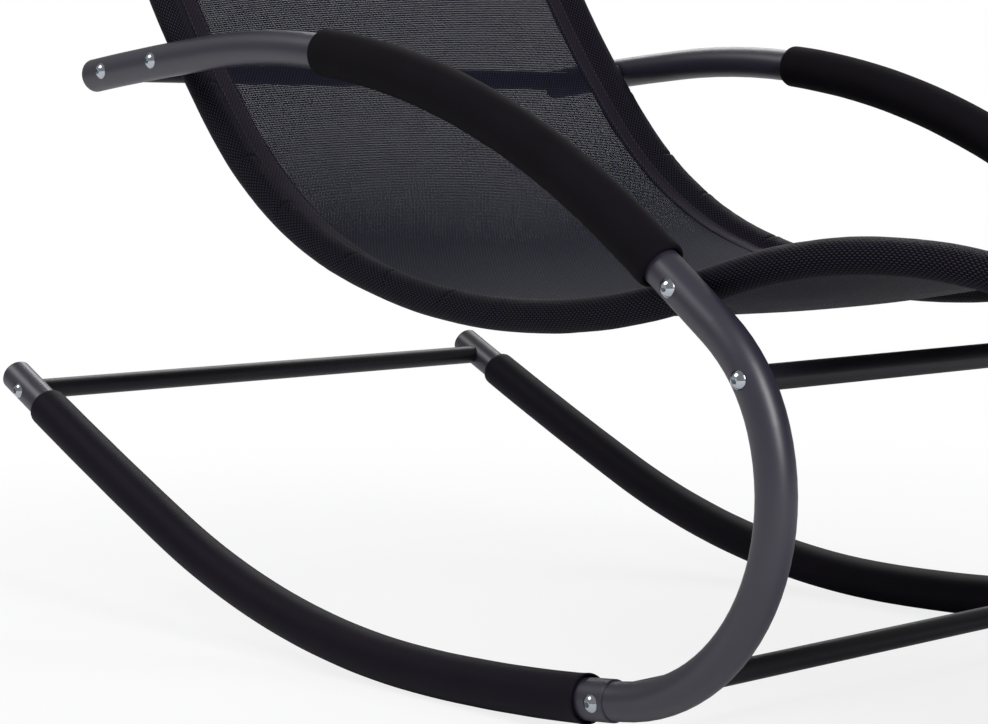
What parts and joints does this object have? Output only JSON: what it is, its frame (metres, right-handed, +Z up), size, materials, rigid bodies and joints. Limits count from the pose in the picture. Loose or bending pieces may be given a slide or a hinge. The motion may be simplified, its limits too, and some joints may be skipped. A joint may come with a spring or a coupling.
{
  "type": "zero gravity rocking chair",
  "caption": "Reclining rocking chair with bent tube sides on curved runners, crossbars, foam arm grips and a mesh sling hung on S-shaped seat rails.",
  "frame": {"origin": "on the floor, under the middle of the overall box", "axes": "+X towards the feet, +Y to the sitter's left, +Z up"},
  "size_m": [1.5306, 0.628, 0.8664],
  "materials": {
    "powder_coat": "satin",
    "bar_coat": "satin",
    "foam": "matt foam",
    "runner": "matt",
    "plastic": "satin",
    "zinc": "bright zinc",
    "sleeve_fabric": "matt weave",
    "mesh_fabric": "open weave"
  },
  "bodies": {
    "root": {"side_frame_left": "powder_coat", "side_frame_right": "powder_coat", "rocker_tube_left": "powder_coat", "rocker_tube_right": "powder_coat", "rocker_sleeve_left": "runner", "rocker_sleeve_right": "runner", "arm_grip_left": "foam", "arm_grip_right": "foam", "back_rail_left": "powder_coat", "back_rail_right": "powder_coat", "leg_rail_left": "powder_coat", "leg_rail_right": "powder_coat", "arm_crossbar": "bar_coat", "rear_rocker_crossbar": "bar_coat", "front_lower_crossbar": "bar_coat", "front_upper_crossbar": "bar_coat", "head_crossbar": "bar_coat", "foot_crossbar": "bar_coat", "crossbar_inserts": "zinc", "seat_bar_inserts": "zinc", "crossbar_bolts": "zinc", "seat_bar_bolts": "zinc", "seat_bolts": "zinc", "seat_rail_nuts": "zinc", "seat_spacers": "plastic", "arm_end_caps": "plastic", "rocker_end_caps": "plastic", "rail_end_caps": "plastic", "sling_mesh": "mesh_fabric", "sling_sleeve_left": "sleeve_fabric", "sling_sleeve_right": "sleeve_fabric"}
  },
  "joints": []
}
